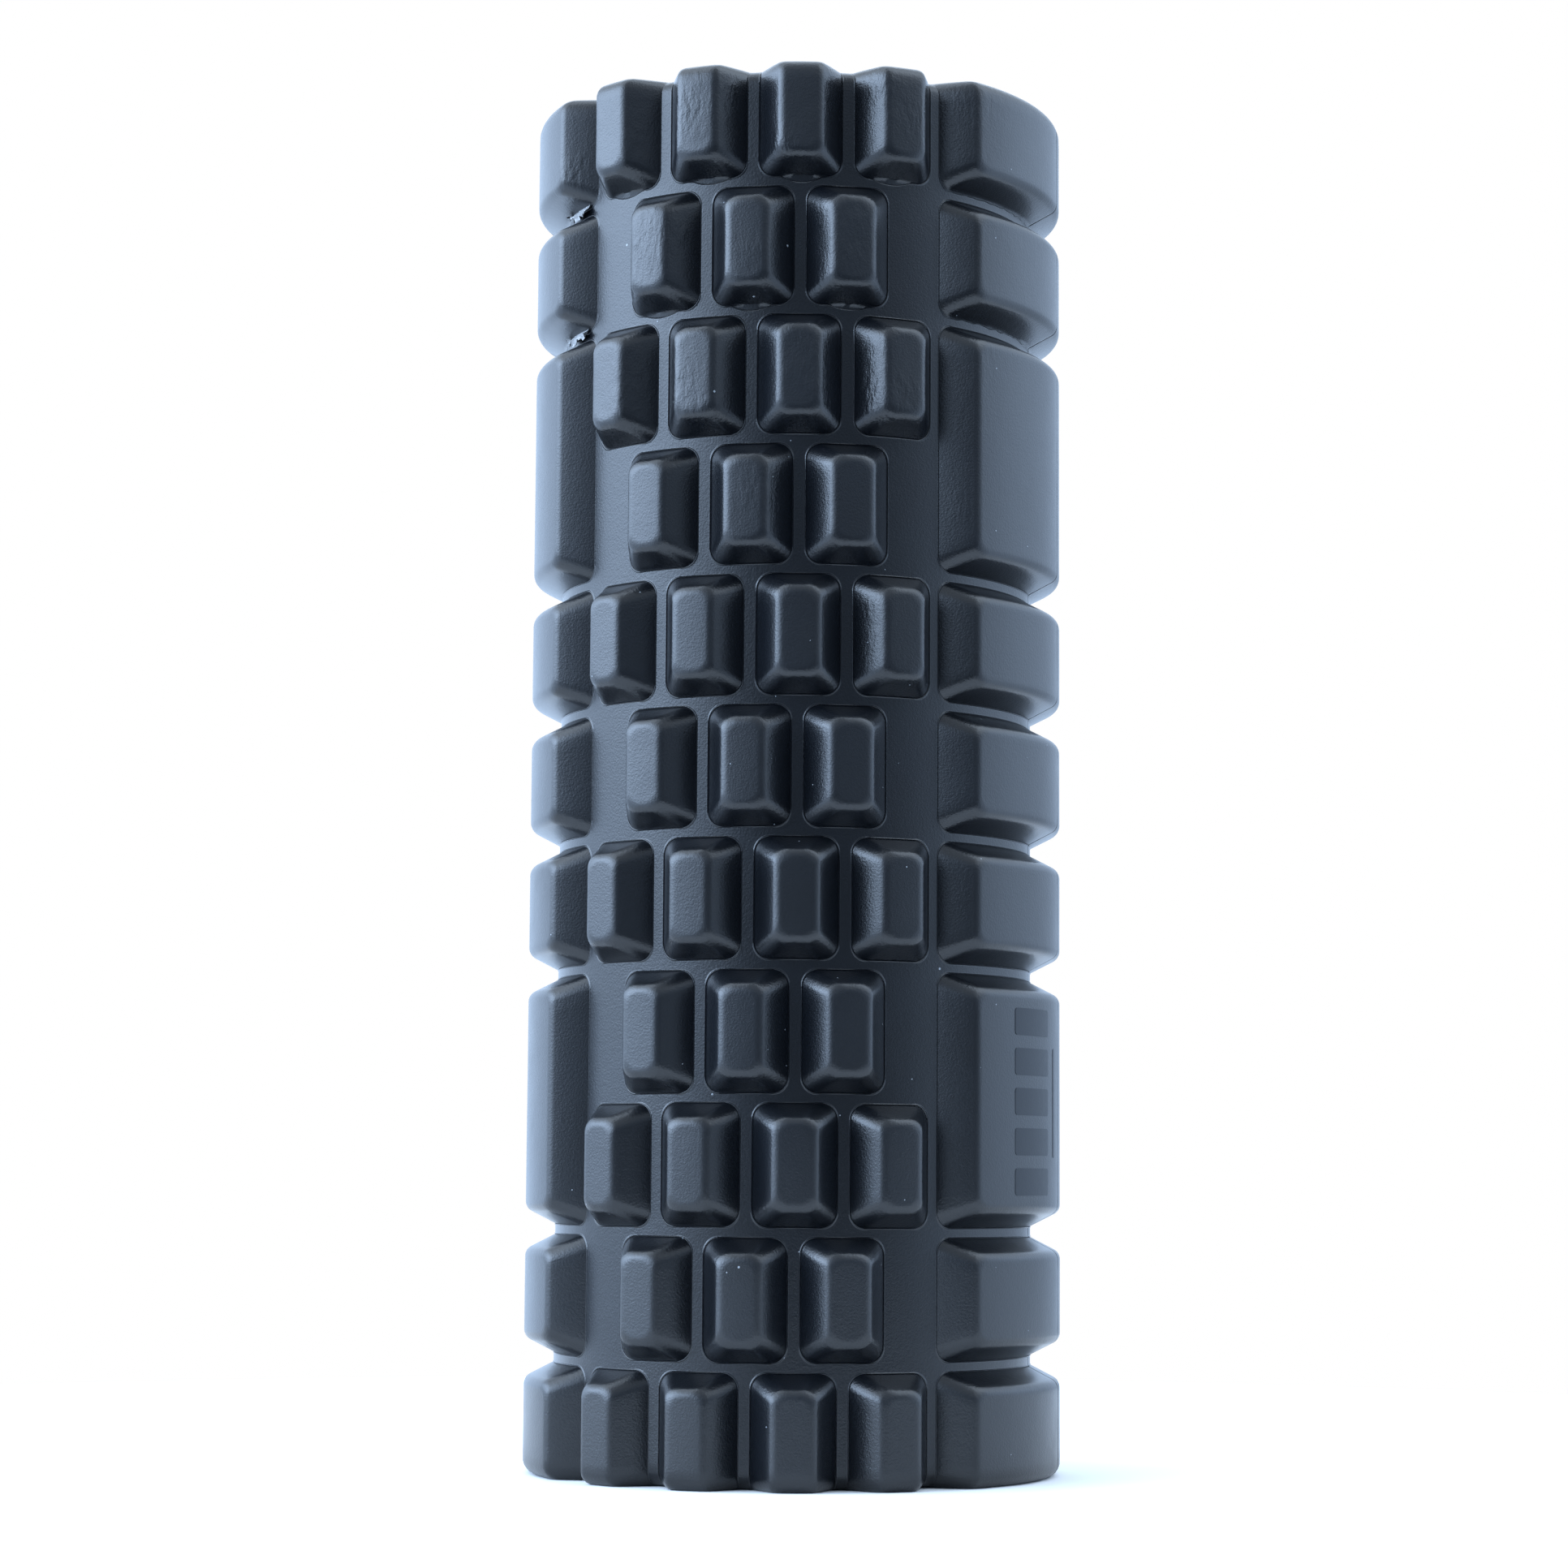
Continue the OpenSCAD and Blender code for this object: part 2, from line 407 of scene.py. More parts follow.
def bands(sheet, side, seed):
    """The wide bands down one side of the shell, each from its end wall to the seam."""
    spans = [(row, row) for row in SHORT_BAND_ROWS] + [(row, row + 1) for row in TALL_BAND_ROWS]
    for first, last in spans:
        low = cut(0) if first == -LAST_ROW else wall(row_z(first) - PAD_H / 2, END_LEAN)
        high = cut(LENGTH) if last == LAST_ROW else wall(row_z(last) + PAD_H / 2, END_LEAN)
        ends = [wall(side * BAND_FOOT_P, BAND_LEAN), cut(side * SEAM_P)]
        straight = SEAM_P - BAND_FOOT_P - CORNER_FOOT_R
        xs = stations(straight, BAND_COLUMNS, near_high=SEAM_STATIONS)
        if side < 0:
            ends.reverse()
            xs = [1 - x for x in reversed(xs)]
        zs = stations(high[0] - low[0] - CORNER_FOOT_R, PAD_ROWS if first == last else TALL_BAND_STEPS,
                      RIM_STATIONS if first == -LAST_ROW else (), RIM_STATIONS if last == LAST_ROW else ())
        ragged = ragged_edge(seed + first) if first >= TOP_ROWS else None
        Patch(*ends, low, high, xs, zs, ragged).build(sheet)


def inside(polygon, points):
    """Which points lie inside a closed outline."""
    x, z = points[:, 0], points[:, 1]
    found = np.zeros(len(points), bool)
    for (x0, z0), (x1, z1) in zip(polygon, np.roll(polygon, -1, axis=0)):
        crosses = (z0 > z) != (z1 > z)
        if crosses.any():
            at = x0 + (z - z0) * (x1 - x0) / (z1 - z0 if z1 != z0 else 1)
            found ^= crosses & (x < at)
    return found


def outline_polygons(sheet):
    """Each pad's foot outline as a closed polygon; a corner is added where two cuts meet."""
    polygons = []
    for loop, _ in sheet.outlines:
        points = [sheet.points[k][:2] for k in loop]
        (xa, za), (xb, zb) = points[0], points[-1]
        if abs(abs(xa) - abs(xb)) > 1 and abs(za - zb) > 1 and (za in (0, LENGTH)) != (zb in (0, LENGTH)):
            on_end, on_seam = ((xa, za), (xb, zb)) if za in (0, LENGTH) else ((xb, zb), (xa, za))
            points.append((on_seam[0], on_end[1]))
        polygons.append(np.array(points))
    return polygons


def groove_floor(sheet):
    """Triangles between the pads' outlines, on the rest of the half cylinder."""
    polygons = outline_polygons(sheet)
    nodes, edges = [], []
    for loop, closed in sheet.outlines:
        start = len(nodes)
        nodes += loop
        edges += [(start + k, start + k + 1) for k in range(len(loop) - 1)]
        if closed:
            edges.append((start + len(loop) - 1, start))
    across = np.linspace(-BAND_FOOT_P, BAND_FOOT_P, FLOOR_COLUMNS)
    up = np.linspace(0, LENGTH, FLOOR_ROWS)[1:-1]
    spare = np.array([(x, z) for z in up for x in across])
    keep = np.ones(len(spare), bool)
    for polygon in polygons:
        keep &= ~inside(polygon, spare)
        gap = np.hypot(*(spare[:, None] - polygon[None]).transpose(2, 0, 1)).min(axis=1)
        keep &= gap > FLOOR_CLEAR
    for x, z in spare[keep]:
        nodes.append(sheet.add(float(x), float(z), 0))
    flat = [Vector(sheet.points[k][:2]) for k in nodes]
    out, _, triangles, origin, _, _ = delaunay_2d_cdt(flat, edges, [], 0, NEAR)
    back = [nodes[o[0]] for o in origin]
    centres = np.array([[sum(out[v][c] for v in t) / 3 for c in (0, 1)] for t in triangles])
    in_pad = np.zeros(len(triangles), bool)
    for polygon in polygons:
        near = ((centres > polygon.min(axis=0)) & (centres < polygon.max(axis=0))).all(axis=1)
        in_pad[near] |= inside(polygon, centres[near])
    for triangle, skip in zip(triangles, in_pad):
        if not skip:
            a, b, c = (Vector(sheet.points[back[v]][:2]) for v in triangle)
            turn = (b - a).cross(c - a)
            ids = tuple(back[v] for v in triangle)
            sheet.faces.append(ids if turn > 0 else ids[::-1])


def radius(p, z, height, seed):
    """The real radius at a point of the sheet, with moulding unevenness and rounded rims."""
    r = FLOOR_R + height
    share = height / GROOVE
    away = min(z, LENGTH - z)
    rim = FLOOR_RIM_R + (RIM_R - FLOOR_RIM_R) * share
    if away < RIM_R:
        r -= rim * (1 - math.sqrt(max(0, 1 - (1 - away / RIM_R) ** 2)))
    seam = SEAM_P - abs(p)
    if seam < SEAM_W:
        r -= SEAM_DEPTH * (1 - seam / SEAM_W)
    dip = 0.5 + 0.5 * noise_at(p, z, BROAD_DIP, seed) + 0.15 * noise_at(p, z, SMALL_DIP, seed + 3)
    return r - UNEVEN * max(0, dip)


def along_edge(points, axis, at):
    """The sheet's points on one of its four edges, in order along it."""
    on_edge = np.flatnonzero(np.abs(points[:, axis] - at) < NEAR).tolist()
    return sorted(on_edge, key=lambda k: points[k, 1 - axis])


def bore_and_ends(sheet, verts, turn):
    """Faces of the shell's inside, its two ends and its two seams; the inside's come first."""
    points = np.array([q[:2] for q in sheet.points])
    rings = []
    for z in (0, LENGTH):
        ring = []
        for i in range(INNER_STEPS + 1):
            a = -math.pi / 2 + math.pi * i / INNER_STEPS + turn
            ring.append(len(verts))
            verts.append((SHELL_IN_R * math.sin(a), -SHELL_IN_R * math.cos(a), z))
        rings.append(ring)
    bottom, top = rings
    faces = [(bottom[i], top[i], top[i + 1], bottom[i + 1]) for i in range(INNER_STEPS)]
    faces.append(along_edge(points, 1, 0)[::-1] + bottom)
    faces.append(along_edge(points, 1, LENGTH) + top[::-1])
    faces.append([bottom[-1], top[-1]] + along_edge(points, 0, SEAM_P)[::-1])
    faces.append(along_edge(points, 0, -SEAM_P) + [top[0], bottom[0]])
    return faces


def half_shell(name, seed, turn, materials):
    """One moulded half of the sleeve. The second material is for the groove floor; its lower specular level
    darkens the grooves as painted shade.
    """
    rng = random.Random(seed)
    sheet = Sheet()
    small_pads(sheet, rng)
    bands(sheet, 1, seed)
    bands(sheet, -1, seed)
    raised = len(sheet.faces)
    groove_floor(sheet)
    outer = len(sheet.faces)
    verts = []
    for p, z, height in sheet.points:
        r, a = radius(p, z, height, seed), p / MID_R + turn
        verts.append((r * math.sin(a), -r * math.cos(a), z))
    faces = sheet.faces + bore_and_ends(sheet, verts, turn)
    mesh = bpy.data.meshes.new(name)
    mesh.from_pydata([(x * MM, y * MM, z * MM) for x, y, z in verts], [], faces)
    mesh.polygons.foreach_set("material_index", [int(raised <= k < outer) for k in range(len(faces))])
    mesh.polygons.foreach_set("use_smooth", [k < outer + INNER_STEPS for k in range(len(faces))])
    mesh.set_sharp_from_angle(angle=math.radians(SHARP_ANGLE))
    shell = bpy.data.objects.new(name, mesh)
    scene.collection.objects.link(shell)
    for material in materials:
        mesh.materials.append(material)
    mesh.validate()
    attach(shell, "root")
    return shell


# ---------------------------------------------------------------- materials
GROOVE_ROUGH = 0.28   # the moulded skin keeps its gloss on the walls and in the grooves


def new_material(name, color, rough):
    """A material with its nodes, links and shader, and the coordinates that its patterns use."""
    material = bpy.data.materials.new(name)
    material.use_nodes = True
    nodes, links = material.node_tree.nodes, material.node_tree.links
    shader = nodes["Principled BSDF"]
    shader.inputs["Base Color"].default_value = (*color, 1)
    shader.inputs["Roughness"].default_value = rough
    place = nodes.new("ShaderNodeTexCoord")
    return material, nodes, links, shader, place.outputs["Object"]


def noise_node(nodes, links, place, scale, detail, harsh=0.55):
    """Noise with about `scale` bumps to a metre; `harsh` is how strong its finer detail is."""
    node = nodes.new("ShaderNodeTexNoise")
    node.inputs["Scale"].default_value = scale
    node.inputs["Detail"].default_value = detail
    node.inputs["Roughness"].default_value = harsh
    links.new(place, node.inputs["Vector"])
    return node.outputs["Fac"]


def ramp_node(nodes, links, value, *stops):
    """Colours by value; each stop is a place from 0 to 1 and a colour."""
    node = nodes.new("ShaderNodeValToRGB")
    ramp = node.color_ramp
    for k, (at, color) in enumerate(stops):
        stop = ramp.elements[k] if k < 2 else ramp.elements.new(at)
        stop.position = at
        stop.color = (*color, 1)
    links.new(value, node.inputs["Fac"])
    return node.outputs["Color"]


def grey_ramp(nodes, links, value, *stops):
    """The same with plain values in place of colours."""
    return ramp_node(nodes, links, value, *((at, (grey,) * 3) for at, grey in stops))


def bump_node(nodes, links, height, strength, distance_mm, after=None):
    """Bumps of a given depth, on top of an earlier set."""
    node = nodes.new("ShaderNodeBump")
    node.inputs["Strength"].default_value = strength
    node.inputs["Distance"].default_value = distance_mm * MM
    links.new(height, node.inputs["Height"])
    if after:
        links.new(after, node.inputs["Normal"])
    return node.outputs["Normal"]


def stretched(nodes, links, place, scale):
    """The coordinates scaled by a different amount along each axis."""
    node = nodes.new("ShaderNodeMapping")
    node.inputs["Scale"].default_value = scale
    links.new(place, node.inputs["Vector"])
    return node.outputs["Vector"]


def math_node(nodes, links, kind, a, b=0):
    """A sum on two values, each a number or a socket."""
    node = nodes.new("ShaderNodeMath")
    node.operation = kind
    for socket, value in zip(node.inputs, (a, b)):
        if isinstance(value, (int, float)):
            socket.default_value = value
        else:
            links.new(value, socket)
    return node.outputs[0]


def mix_node(nodes, links, share, a, b):
    """Colour a, turning to colour b where share is 1."""
    node = nodes.new("ShaderNodeMix")
    node.data_type = "RGBA"
    for socket, value in ((node.inputs["Factor"], share), (node.inputs[6], a), (node.inputs[7], b)):
        if isinstance(value, tuple):
            socket.default_value = (*value, 1)
        else:
            links.new(value, socket)
    return node.outputs[2]


def specks(nodes, links, place, scale, size, share):
    """1 on small dots in the middle of some cells of a Voronoi pattern; `share` of the cells have one."""
    cells = nodes.new("ShaderNodeTexVoronoi")
    cells.inputs["Scale"].default_value = scale
    links.new(place, cells.inputs["Vector"])
    split = nodes.new("ShaderNodeSeparateColor")
    links.new(cells.outputs["Color"], split.inputs["Color"])
    small = math_node(nodes, links, "LESS_THAN", cells.outputs["Distance"], size)
    picked = math_node(nodes, links, "LESS_THAN", split.outputs["Red"], share)
    return math_node(nodes, links, "MULTIPLY", small, picked)


def map_range(nodes, links, value, low, high, least=0):
    """From `least` to 1 as the value goes from low to high."""
    node = nodes.new("ShaderNodeMapRange")
    node.inputs["From Min"].default_value = low
    node.inputs["From Max"].default_value = high
    node.inputs["To Min"].default_value = least
    links.new(value, node.inputs["Value"])
    return node.outputs["Result"]


def axis_distance(nodes, links, place):
    """How far a point of the surface is from the roller's axis."""
    node = nodes.new("ShaderNodeVectorMath")
    node.operation = "LENGTH"
    links.new(stretched(nodes, links, place, (1, 1, 0)), node.inputs[0])
    return node.outputs["Value"]


def wall_radius(share):
    """The radius, in metres, at a share of the pads' height."""
    return (FLOOR_R + GROOVE * share) * MM


def foam_color(nodes, links, place):
    """Nearly black in faint clouds, with fine and coarse specks of dust."""
    cloud = noise_node(nodes, links, place, scale=38, detail=4)
    skin = ramp_node(nodes, links, cloud, (0.3, (0.0017, 0.0024, 0.0037)), (0.7, (0.003, 0.0041, 0.0061)))
    fine_dust = specks(nodes, links, place, scale=330, size=0.055, share=0.10)
    coarse_dust = specks(nodes, links, place, scale=120, size=0.035, share=0.12)
    dust = math_node(nodes, links, "MAXIMUM", fine_dust, coarse_dust)
    return mix_node(nodes, links, dust, skin, (0.22, 0.24, 0.26))


def foam_rough(nodes, links, place, out):
    """Scuffed patches on the pads' tops, and one gloss lower down."""
    scuffed = noise_node(nodes, links, place, scale=26, detail=6, harsh=0.7)
    rough = grey_ramp(nodes, links, scuffed, (0.35, 0.30), (0.62, 0.34), (0.78, 0.41))
    depth = map_range(nodes, links, out, wall_radius(0.93), wall_radius(0.75))
    return mix_node(nodes, links, depth, rough, (GROOVE_ROUGH,) * 3)


def wrinkles(nodes, links, place, out):
    """Creases in patches, strongest on the upper pads and weak on the wide bands."""
    creases = noise_node(nodes, links, stretched(nodes, links, place, (1, 1, 0.45)), 760, detail=3, harsh=0.5)
    cloud = noise_node(nodes, links, place, scale=45, detail=2)
    patches = grey_ramp(nodes, links, cloud, (0.45, 0), (0.68, 1))
    split = nodes.new("ShaderNodeSeparateXYZ")
    links.new(place, split.inputs[0])
    upper = map_range(nodes, links, split.outputs["Z"], 0.45 * LENGTH * MM, 0.95 * LENGTH * MM, least=0.12)
    raised = map_range(nodes, links, out, wall_radius(0.1), wall_radius(0.5))
    aside = math_node(nodes, links, "ABSOLUTE", split.outputs["Y"])
    on_pads = map_range(nodes, links, aside, (BAND_END_Y - 3) * MM, (BAND_END_Y + 3) * MM, least=0.25)
    where = math_node(nodes, links, "MULTIPLY", upper, raised)
    where = math_node(nodes, links, "MULTIPLY", where, on_pads)
    patches = math_node(nodes, links, "MULTIPLY", patches, where)
    return math_node(nodes, links, "MULTIPLY", creases, patches)


def foam_material(name, gloss):
    """Closed-cell foam with a moulded skin: satin grain, faint wrinkles, scuffed patches and dust."""
    material, nodes, links, shader, place = new_material(name, (0.0023, 0.0033, 0.005), 0.3)
    shader.inputs["Specular IOR Level"].default_value = gloss
    out = axis_distance(nodes, links, place)
    links.new(foam_color(nodes, links, place), shader.inputs["Base Color"])
    links.new(foam_rough(nodes, links, place, out), shader.inputs["Roughness"])
    broad = noise_node(nodes, links, place, scale=120, detail=3)
    pebbled = noise_node(nodes, links, place, scale=700, detail=3)
    grain = noise_node(nodes, links, place, scale=2000, detail=2)
    normal = bump_node(nodes, links, broad, strength=0.5, distance_mm=0.10)
    normal = bump_node(nodes, links, pebbled, strength=0.35, distance_mm=0.045, after=normal)
    creased = wrinkles(nodes, links, place, out)
    normal = bump_node(nodes, links, creased, strength=1.0, distance_mm=0.3, after=normal)
    normal = bump_node(nodes, links, grain, strength=0.8, distance_mm=0.07, after=normal)
    links.new(normal, shader.inputs["Normal"])
    return material


def core_material():
    """Extruded tube: long die lines, and saw marks across its cut ends."""
    material, nodes, links, shader, place = new_material("core_plastic", (0.012, 0.013, 0.015), 0.38)
    cloud = noise_node(nodes, links, place, scale=30, detail=4)
    color = ramp_node(nodes, links, cloud, (0.3, (0.010, 0.011, 0.013)), (0.7, (0.016, 0.017, 0.019)))
    links.new(color, shader.inputs["Base Color"])
    lines = noise_node(nodes, links, stretched(nodes, links, place, (1, 1, 0.02)), 900, detail=3)
    rough = grey_ramp(nodes, links, lines, (0.35, 0.30), (0.65, 0.46))
    links.new(rough, shader.inputs["Roughness"])
    saw = noise_node(nodes, links, stretched(nodes, links, place, (0.08, 1, 1)), 1500, detail=2)
    normal = bump_node(nodes, links, lines, strength=0.5, distance_mm=0.06)
    normal = bump_node(nodes, links, saw, strength=0.2, distance_mm=0.04, after=normal)
    links.new(normal, shader.inputs["Normal"])
    return material


def bond_material():
    """Dried contact adhesive, cloudy amber with small bubbles."""
    material, nodes, links, shader, place = new_material("contact_adhesive", (0.33, 0.25, 0.13), 0.4)
    cloud = noise_node(nodes, links, place, scale=140, detail=5)
    color = ramp_node(nodes, links, cloud, (0.3, (0.24, 0.17, 0.08)), (0.7, (0.42, 0.34, 0.20)))
    links.new(color, shader.inputs["Base Color"])
    smears = noise_node(nodes, links, place, scale=400, detail=3)
    rough = grey_ramp(nodes, links, smears, (0.3, 0.3), (0.7, 0.6))
    links.new(rough, shader.inputs["Roughness"])
    bubbles = nodes.new("ShaderNodeTexVoronoi")
    bubbles.inputs["Scale"].default_value = 900
    links.new(place, bubbles.inputs["Vector"])
    normal = bump_node(nodes, links, bubbles.outputs["Distance"], strength=0.5, distance_mm=0.2)
    links.new(normal, shader.inputs["Normal"])
    return material


def ink_material():
    """Printed ink, a little darker and flatter than the foam, thin enough to show its grain."""
    material, nodes, links, shader, place = new_material("printed_ink", (0.004, 0.006, 0.009), 0.4)
    shader.inputs["Specular IOR Level"].default_value = 0.26
    worn = noise_node(nodes, links, place, scale=500, detail=5, harsh=0.7)
    color = ramp_node(nodes, links, worn, (0.3, (0.003, 0.0045, 0.007)), (0.7, (0.006, 0.008, 0.012)))
    links.new(color, shader.inputs["Base Color"])
    rough = grey_ramp(nodes, links, worn, (0.3, 0.30), (0.7, 0.38))
    links.new(rough, shader.inputs["Roughness"])
    grain = noise_node(nodes, links, place, scale=2100, detail=2)
    normal = bump_node(nodes, links, grain, strength=0.5, distance_mm=0.03)
    links.new(normal, shader.inputs["Normal"])
    return material


def flash_material():
    """Thin torn foam skin, pale where it has stretched."""
    material, nodes, links, shader, place = new_material("torn_skin", (0.3, 0.32, 0.34), 0.6)
    cloud = noise_node(nodes, links, place, scale=900, detail=4)
    color = ramp_node(nodes, links, cloud, (0.3, (0.16, 0.17, 0.18)), (0.6, (0.36, 0.36, 0.36)))
    links.new(color, shader.inputs["Base Color"])
    worn = noise_node(nodes, links, place, scale=600, detail=3)
    rough = grey_ramp(nodes, links, worn, (0.3, 0.6), (0.7, 0.8))
    links.new(rough, shader.inputs["Roughness"])
    torn_cells = noise_node(nodes, links, place, scale=1600, detail=3)
    normal = bump_node(nodes, links, torn_cells, strength=0.3, distance_mm=0.05)
    links.new(normal, shader.inputs["Normal"])
    return material


# ---------------------------------------------------------------- the other pieces
def new_piece(name, verts, faces, material, smooth_angle=40):
    """A piece on the roller's one body, shaded smooth where its faces turn less than an angle in degrees."""
    mesh = bpy.data.meshes.new(name)
    mesh.from_pydata([(x * MM, y * MM, z * MM) for x, y, z in verts], [], faces)
    mesh.validate()
    mesh.shade_smooth()
    mesh.set_sharp_from_angle(angle=math.radians(smooth_angle))
    mesh.materials.append(material)
    piece = bpy.data.objects.new(name, mesh)
    scene.collection.objects.link(piece)
    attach(piece, "root")
    return piece


def on_roller(r, angle, z):
    """The place at a radius, an angle from the front and a height."""
    return r * math.sin(angle), -r * math.cos(angle), z


def quarter(cx, cz, rad, start):
    """Points of a quarter turn round a middle, from a start angle in degrees."""
    turns = [math.radians(start + 90 * i / QUARTER_STEPS) for i in range(QUARTER_STEPS + 1)]
    return [(cx + rad * math.cos(a), cz + rad * math.sin(a)) for a in turns]


def core_tube(material):
    """The tube, turned from a section with rounded outer edges and a bore chamfered in two steps."""
    bore = CORE_R - CORE_WALL
    ledge, edge = CORE_CHAMFER, CORE_EDGE_R
    section = [(bore, LENGTH - ledge), (bore, ledge), (bore + ledge * 0.2, ledge * 0.5), (bore + ledge, 0)]
    section += quarter(CORE_R - edge, edge, edge, -90)
    section += quarter(CORE_R - edge, LENGTH - edge, edge, 0)
    section += [(bore + ledge, LENGTH), (bore + ledge * 0.2, LENGTH - ledge * 0.5)]
    count = len(section)
    verts = [on_roller(r, 2 * math.pi * i / CORE_STEPS, z) for i in range(CORE_STEPS) for r, z in section]
    faces = []
    for i in range(CORE_STEPS):
        here, there = i * count, (i + 1) % CORE_STEPS * count
        for k in range(count):
            after = (k + 1) % count
            faces.append((here + k, there + k, there + after, here + after))
    return new_piece("core_tube_turned", verts, faces, material)


def ink_patch(verts, faces, angle, z, w, h, corner):
    """A thin rounded rectangle of ink, wrapped round the roller.

    Its corners have a column every 15 degrees.
    """
    ends = [w / 2 - corner * (1 - math.sin(math.radians(15 * k))) for k in range(7)]
    middle = [w * (i / INK_STEPS - 0.5) * (1 - 2 * corner / w) for i in range(1, INK_STEPS)]
    columns = [-x for x in reversed(ends)] + middle + ends
    start = len(verts)
    for x in columns:
        past = max(0, abs(x) - (w / 2 - corner))
        half = h / 2 - corner + math.sqrt(max(0, corner * corner - past * past))
        for r, side in ((INK_TOP, 1), (INK_TOP, -1), (INK_ROOT, -1), (INK_ROOT, 1)):
            verts.append(on_roller(r, angle + x / TOP_R, z + side * half))
    for i in range(len(columns) - 1):
        a, b = start + 4 * i, start + 4 * (i + 1)
        for k in range(4):
            faces.append((a + k, a + (k + 1) % 4, b + (k + 1) % 4, b + k))
    last = start + 4 * (len(columns) - 1)
    faces.append((start + 3, start + 2, start + 1, start))
    faces.append((last, last + 1, last + 2, last + 3))


def ink_bars(material):
    """Plain bars and a thin line, where the maker's print would be."""
    verts, faces = [], []
    for i in range(BAR_COUNT):
        z = MARK_Z + (i - (BAR_COUNT - 1) / 2) * BAR_PITCH
        ink_patch(verts, faces, BAR_ANGLE, z, BAR_W, BAR_H, BAR_CORNER)
    ink_patch(verts, faces, LINE_ANGLE, MARK_Z, LINE_W, LINE_L, LINE_W / 3)
    return new_piece("ink_bars", verts, faces, material)


def torn_flash(name, row, seed, material):
    """A torn strip of moulding skin that hangs from the foot of a band's lower wall.

    Each station along it has four places from the foot outwards, on the strip's inside and its outside.
    """
    rng = random.Random(seed)
    foot_z = row_z(row) - PAD_H / 2
    start = -BAND_FOOT_P - FLASH_IN
    verts, faces = [], []
    for i in range(FLASH_STEPS + 1):
        share = i / FLASH_STEPS
        p = start - share * FLASH_L
        swell = math.sin(math.pi * min(1, 0.12 + share)) ** 0.5   # nearly full at once, and then to a point
        hang = FLASH_H * swell * (0.45 + 0.55 * rng.random())
        lift = 0.9 + 0.8 * rng.random()
        for along, out in ((-0.4, 0.1), (0.35, 0.5 * lift), (0.7, lift), (1, lift + 0.4 * rng.random())):
            for thick in (0, FLASH_T):
                r = FLOOR_R + out + thick
                verts.append(on_roller(r, p / MID_R, foot_z - along * hang))
    ring = (0, 2, 4, 6, 7, 5, 3, 1)   # a station's points in order round the strip
    count = len(ring)
    for i in range(FLASH_STEPS):
        a, b = count * i, count * (i + 1)
        for k, here in enumerate(ring):
            after = ring[(k + 1) % count]
            faces.append((a + here, a + after, b + after, b + here))
    faces.append(ring[::-1])
    faces.append(tuple(count * FLASH_STEPS + k for k in ring))
    return new_piece(name, verts, faces, material, 80)


# ---------------------------------------------------------------- the roller
# the groove floor's copy of the foam has a lower specular level (0.38 against 0.5): painted shade that
# darkens the grooves
foam = foam_material("eva_foam", 0.5), foam_material("eva_foam_groove_painted_shade", 0.38)
front = half_shell("foam_front", 11, 0, foam)
back = half_shell("foam_back", 23, math.pi, foam)
for shell, node in ((front, "foam_shell_front"), (back, "foam_shell_back")):
    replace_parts(shell, node)
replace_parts(core_tube(core_material()), "core_tube")
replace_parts(ink_bars(ink_material()), "printed_mark")
torn = flash_material()
torn_flash("torn_flash_upper", LAST_ROW, 5, torn)
torn_flash("torn_flash_lower", LAST_ROW - 1, 8, torn)
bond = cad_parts["bond_film"]
bond.data.materials.clear()
bond.data.materials.append(bond_material())

# ---------------------------------------------------------------- camera
CAMERA_TURN = math.radians(10.863)      # round the roller, from the front
CAMERA_PLACE = (0, -0.9343, 0.0703)     # before that turn
YAW, PITCH, ROLL = -0.0030, 0.1038, -0.0066
SENSOR_MM, LENS_MM = 36, 87.39
forward = Vector((math.sin(YAW) * math.cos(PITCH), math.cos(YAW) * math.cos(PITCH), math.sin(PITCH)))
right = Vector((math.cos(YAW), -math.sin(YAW), 0))
up = Vector((-math.sin(YAW) * math.sin(PITCH), -math.cos(YAW) * math.sin(PITCH), math.cos(PITCH)))
right, up = (right * math.cos(ROLL) - up * math.sin(ROLL), right * math.sin(ROLL) + up * math.cos(ROLL))
camera_data = bpy.data.cameras.new("camera")
camera_data.sensor_width = SENSOR_MM
camera_data.lens = LENS_MM
camera = bpy.data.objects.new("camera", camera_data)
turned = Matrix.Rotation(CAMERA_TURN, 4, "Z")
aim = Matrix((right, up, -forward)).transposed().to_4x4()
camera.matrix_world = turned @ Matrix.Translation(CAMERA_PLACE) @ aim
scene.collection.objects.link(camera)
scene.camera = camera

# ---------------------------------------------------------------- floor and light
bpy.ops.mesh.primitive_circle_add(radius=0.45, vertices=96, fill_type="NGON")
floor = bpy.context.object
floor.name = "floor"
floor_material, *_ = new_material("floor_paint", (0.8, 0.8, 0.8), 0.9)
floor.data.materials.append(floor_material)

# The studio's light: five broad soft lamps round the roller, and a little from everywhere. A lamp has
# its angle from the camera's side, negative to the left, and its half width, in degrees, and then its
# radiance at the horizon, at LIGHT_MID and from LIGHT_TOP upwards.
LAMPS = (
    (-77, 62, 2.2, 11.5, 2.6),
    (-135, 50, 1.4, 1.2, 0.4),
    (75, 50, 0.8, 0.2, 2.6),
    (105, 50, 1.2, 2.0, 0.8),
    (180, 70, 1.2, 1.0, 1.5),
)
AMBIENT = (0.24, 0.6, 0.95)
LIGHT_STEPS = 24      # stops in each ramp of light
LIGHT_PEAK = 13       # radiance that a ramp's 1 stands for
LIGHT_MID, LIGHT_TOP = 0.3, 0.75   # sines of the angles above the horizon
SIDE_TINT = (0.76, 1.0, 1.36)
TOP_TINT = (0.84, 1.0, 1.2)


def radiance(angle, level):
    """What comes from an angle round the roller, at one of the three levels."""
    total = AMBIENT[level]
    for lamp in LAMPS:
        off = abs((angle - lamp[0] + 180) % 360 - 180) / lamp[1]
        if off < 1:
            total += lamp[2 + level] * math.cos(off * math.pi / 2) ** 2
    return total


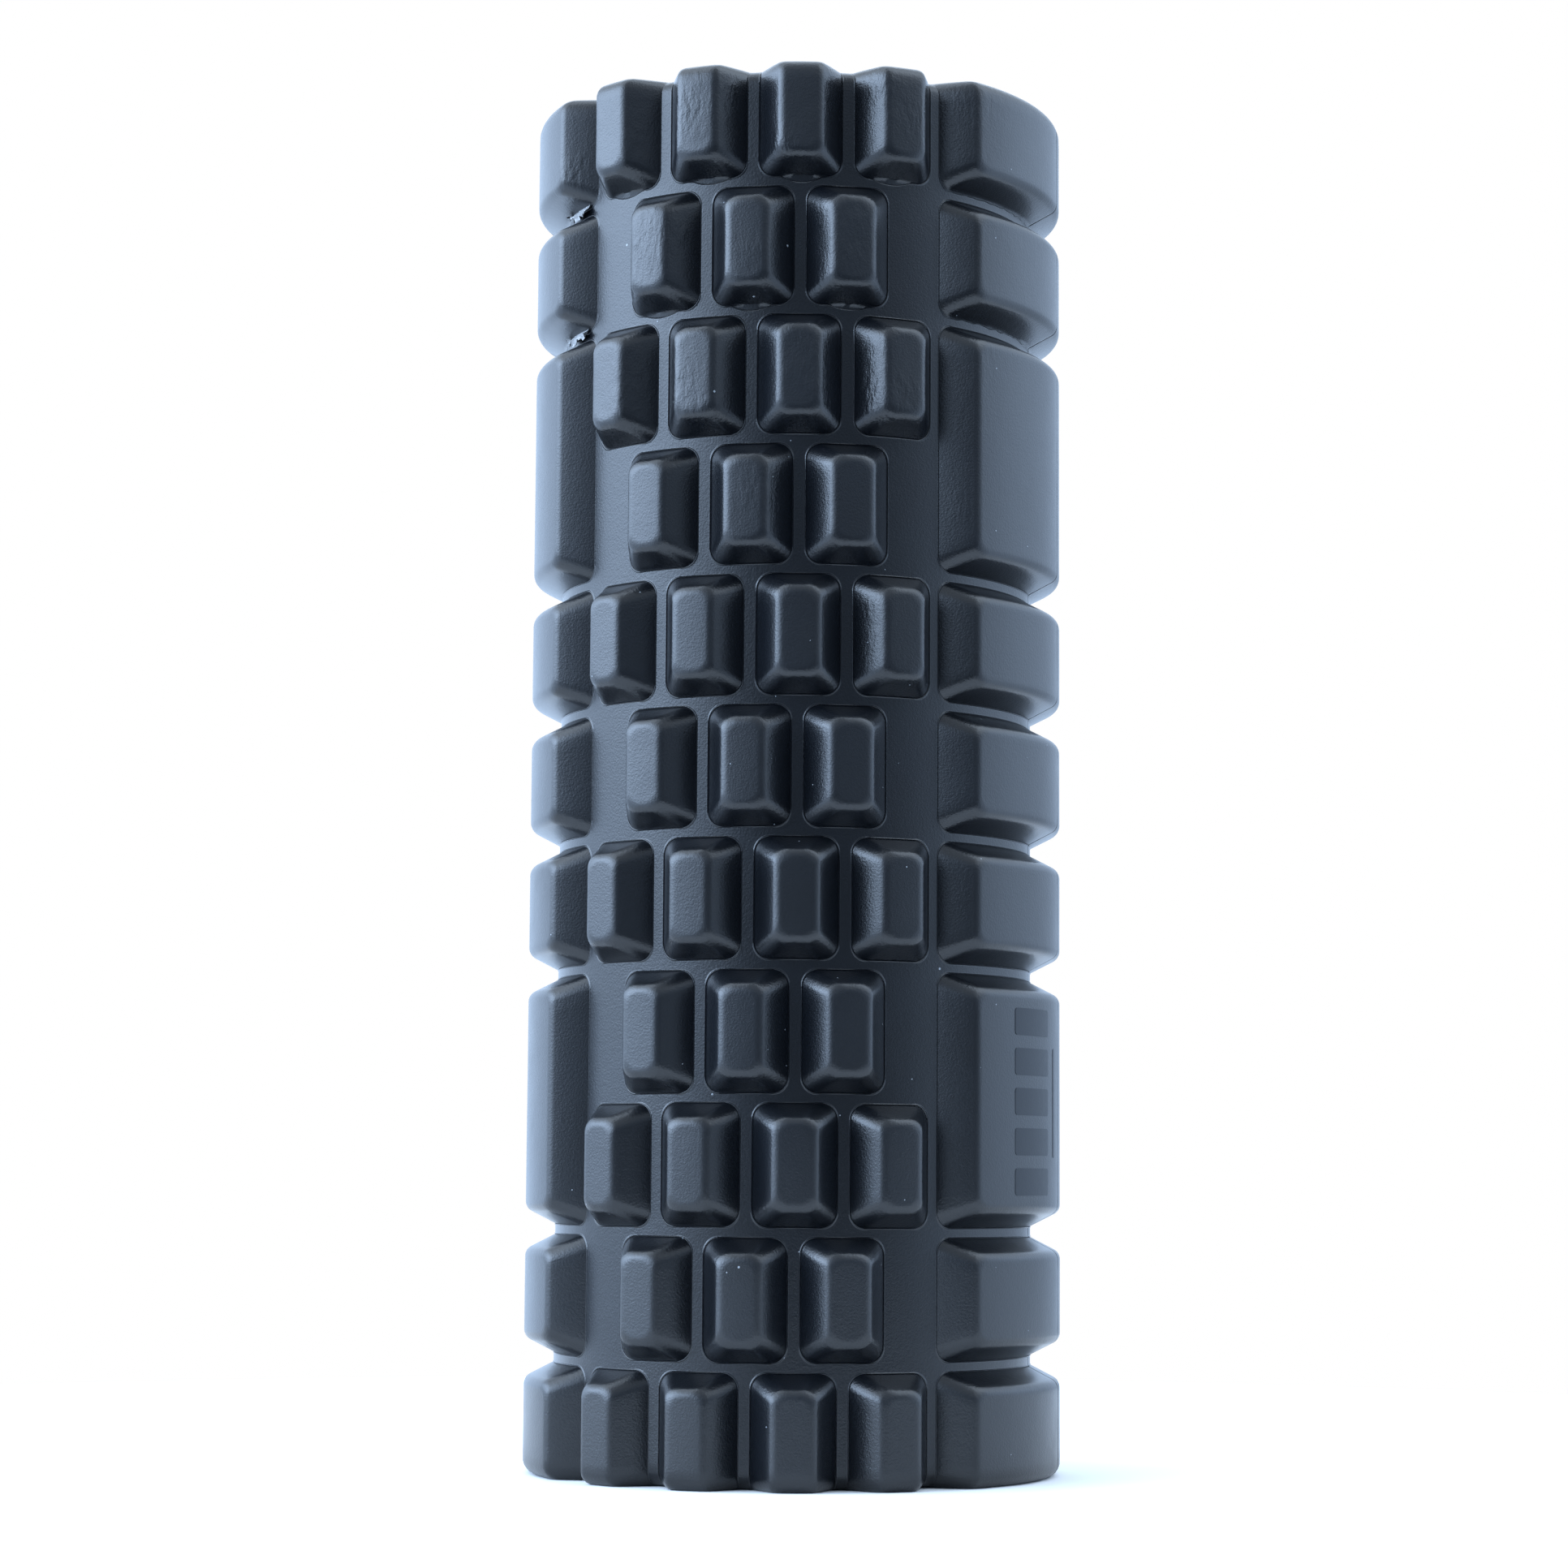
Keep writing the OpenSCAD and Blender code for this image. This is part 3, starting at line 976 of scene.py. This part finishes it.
def light_ramp(nodes, links, turn_share, level, tint):
    """The light from all round the roller at one of the three levels."""
    stops = []
    for k in range(LIGHT_STEPS + 1):
        at = k / LIGHT_STEPS
        light = radiance(360 * at - 180, level) / LIGHT_PEAK
        stops.append((at, tuple(light * t for t in tint)))
    return ramp_node(nodes, links, turn_share, *stops)


def studio_world():
    """Soft light by direction, and plain white where the camera looks past the roller."""
    world = bpy.data.worlds.new("studio")
    world.use_nodes = True
    nodes, links = world.node_tree.nodes, world.node_tree.links
    place = nodes.new("ShaderNodeTexCoord")
    spin = nodes.new("ShaderNodeMapping")
    spin.inputs["Rotation"].default_value = (0, 0, -CAMERA_TURN)
    links.new(place.outputs["Generated"], spin.inputs["Vector"])
    split = nodes.new("ShaderNodeSeparateXYZ")
    links.new(spin.outputs[0], split.inputs[0])
    away = math_node(nodes, links, "MULTIPLY", split.outputs["Y"], -1)
    angle = math_node(nodes, links, "ARCTAN2", split.outputs["X"], away)
    turns = math_node(nodes, links, "MULTIPLY", angle, 0.5 / math.pi)
    share = math_node(nodes, links, "ADD", turns, 0.5)
    low, mid, top = (light_ramp(nodes, links, share, level, tint)
                     for level, tint in enumerate((SIDE_TINT, SIDE_TINT, TOP_TINT)))
    height = split.outputs["Z"]
    rising = mix_node(nodes, links, map_range(nodes, links, height, 0, LIGHT_MID), low, mid)
    color = mix_node(nodes, links, map_range(nodes, links, height, LIGHT_MID, LIGHT_TOP), rising, top)
    glow = nodes["Background"]
    links.new(color, glow.inputs["Color"])
    glow.inputs["Strength"].default_value = LIGHT_PEAK
    white = nodes.new("ShaderNodeBackground")
    white.inputs["Color"].default_value = (1, 1, 1, 1)
    path = nodes.new("ShaderNodeLightPath")
    pick = nodes.new("ShaderNodeMixShader")
    links.new(path.outputs["Is Camera Ray"], pick.inputs[0])
    links.new(glow.outputs[0], pick.inputs[1])
    links.new(white.outputs[0], pick.inputs[2])
    links.new(pick.outputs[0], nodes["World Output"].inputs["Surface"])
    return world


scene.world = studio_world()
scene.view_settings.view_transform = "Standard"
